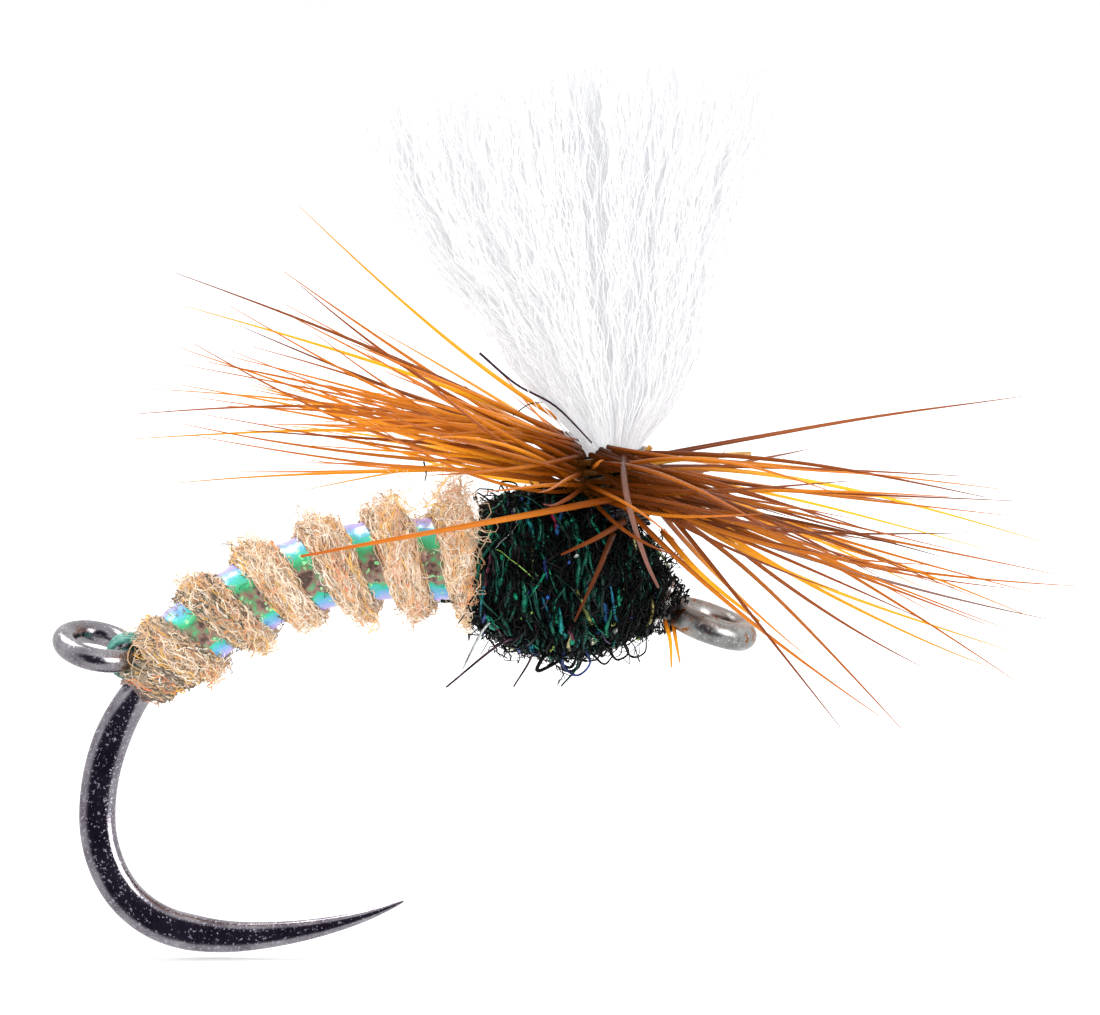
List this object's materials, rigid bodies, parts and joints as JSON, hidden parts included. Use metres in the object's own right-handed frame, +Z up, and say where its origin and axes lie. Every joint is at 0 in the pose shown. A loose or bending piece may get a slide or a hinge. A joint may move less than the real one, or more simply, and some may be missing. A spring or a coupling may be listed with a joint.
{
  "type": "dry fly",
  "caption": "Parachute dry fly on a curved barbless hook, with dubbed and ribbed body, white wing post, brown hackle and a dropper ring at the bend.",
  "frame": {"origin": "centre of the hook's eye", "axes": "+X towards the head, +Z up towards the wing, Y across the fly; the hook bends in the plane Y = 0"},
  "size_m": [0.0173, 0.0166, 0.015],
  "materials": {
    "hook_metal": "black nickel, polished",
    "ring_metal": "black nickel, polished",
    "teal_thread": "waxed multifilament thread",
    "black_thread": "waxed multifilament thread",
    "varnish": "thin reddish varnish",
    "tan_fur": "fuzzy spun fur",
    "guard_hair": "curled hair",
    "pearl_tinsel": "pearl, changing from blue to green",
    "wing_yarn": "crimped white yarn",
    "hackle_stem": "horny, slightly glossy",
    "hackle_fibre": "horny, translucent, slightly glossy",
    "peacock_dubbing": "dark dubbing with green sparkle",
    "flash_fibre": "metallic plastic fibre",
    "clear_cement": "clear cement over dark thread"
  },
  "bodies": {
    "fly": {"hook": "hook_metal", "ring_lashing": "teal_thread", "lashing_varnish": "varnish", "thread_underbody": "teal_thread", "post_butts": "wing_yarn", "post_anchor_wraps": "black_thread", "rib_tie_in_wraps": "teal_thread", "abdomen_dubbing": "tan_fur", "rib_tinsel": "pearl_tinsel", "wing_post": "wing_yarn", "post_wraps": "black_thread", "hackle_quill": "hackle_stem", "hackle_barbs_head": "hackle_fibre", "hackle_barbs_far": "hackle_fibre", "hackle_barbs_tail": "hackle_fibre", "hackle_barbs_near": "hackle_fibre", "hackle_stub": "hackle_stem", "thorax_dubbing": "peacock_dubbing", "head_wraps": "black_thread", "head_cement": "clear_cement", "thorax_flash_fibres": "flash_fibre", "abdomen_guard_hairs": "guard_hair"},
    "ring": {"dropper_ring": "ring_metal"}
  },
  "joints": [
    {"name": "ring_swing", "type": "hinge", "parent": "fly", "child": "ring", "pos_m": [-0.00959, 0, -0.0005], "axis": [0.0679, 0.9511, 0.3015], "range_deg": [-40, 25]}
  ]
}
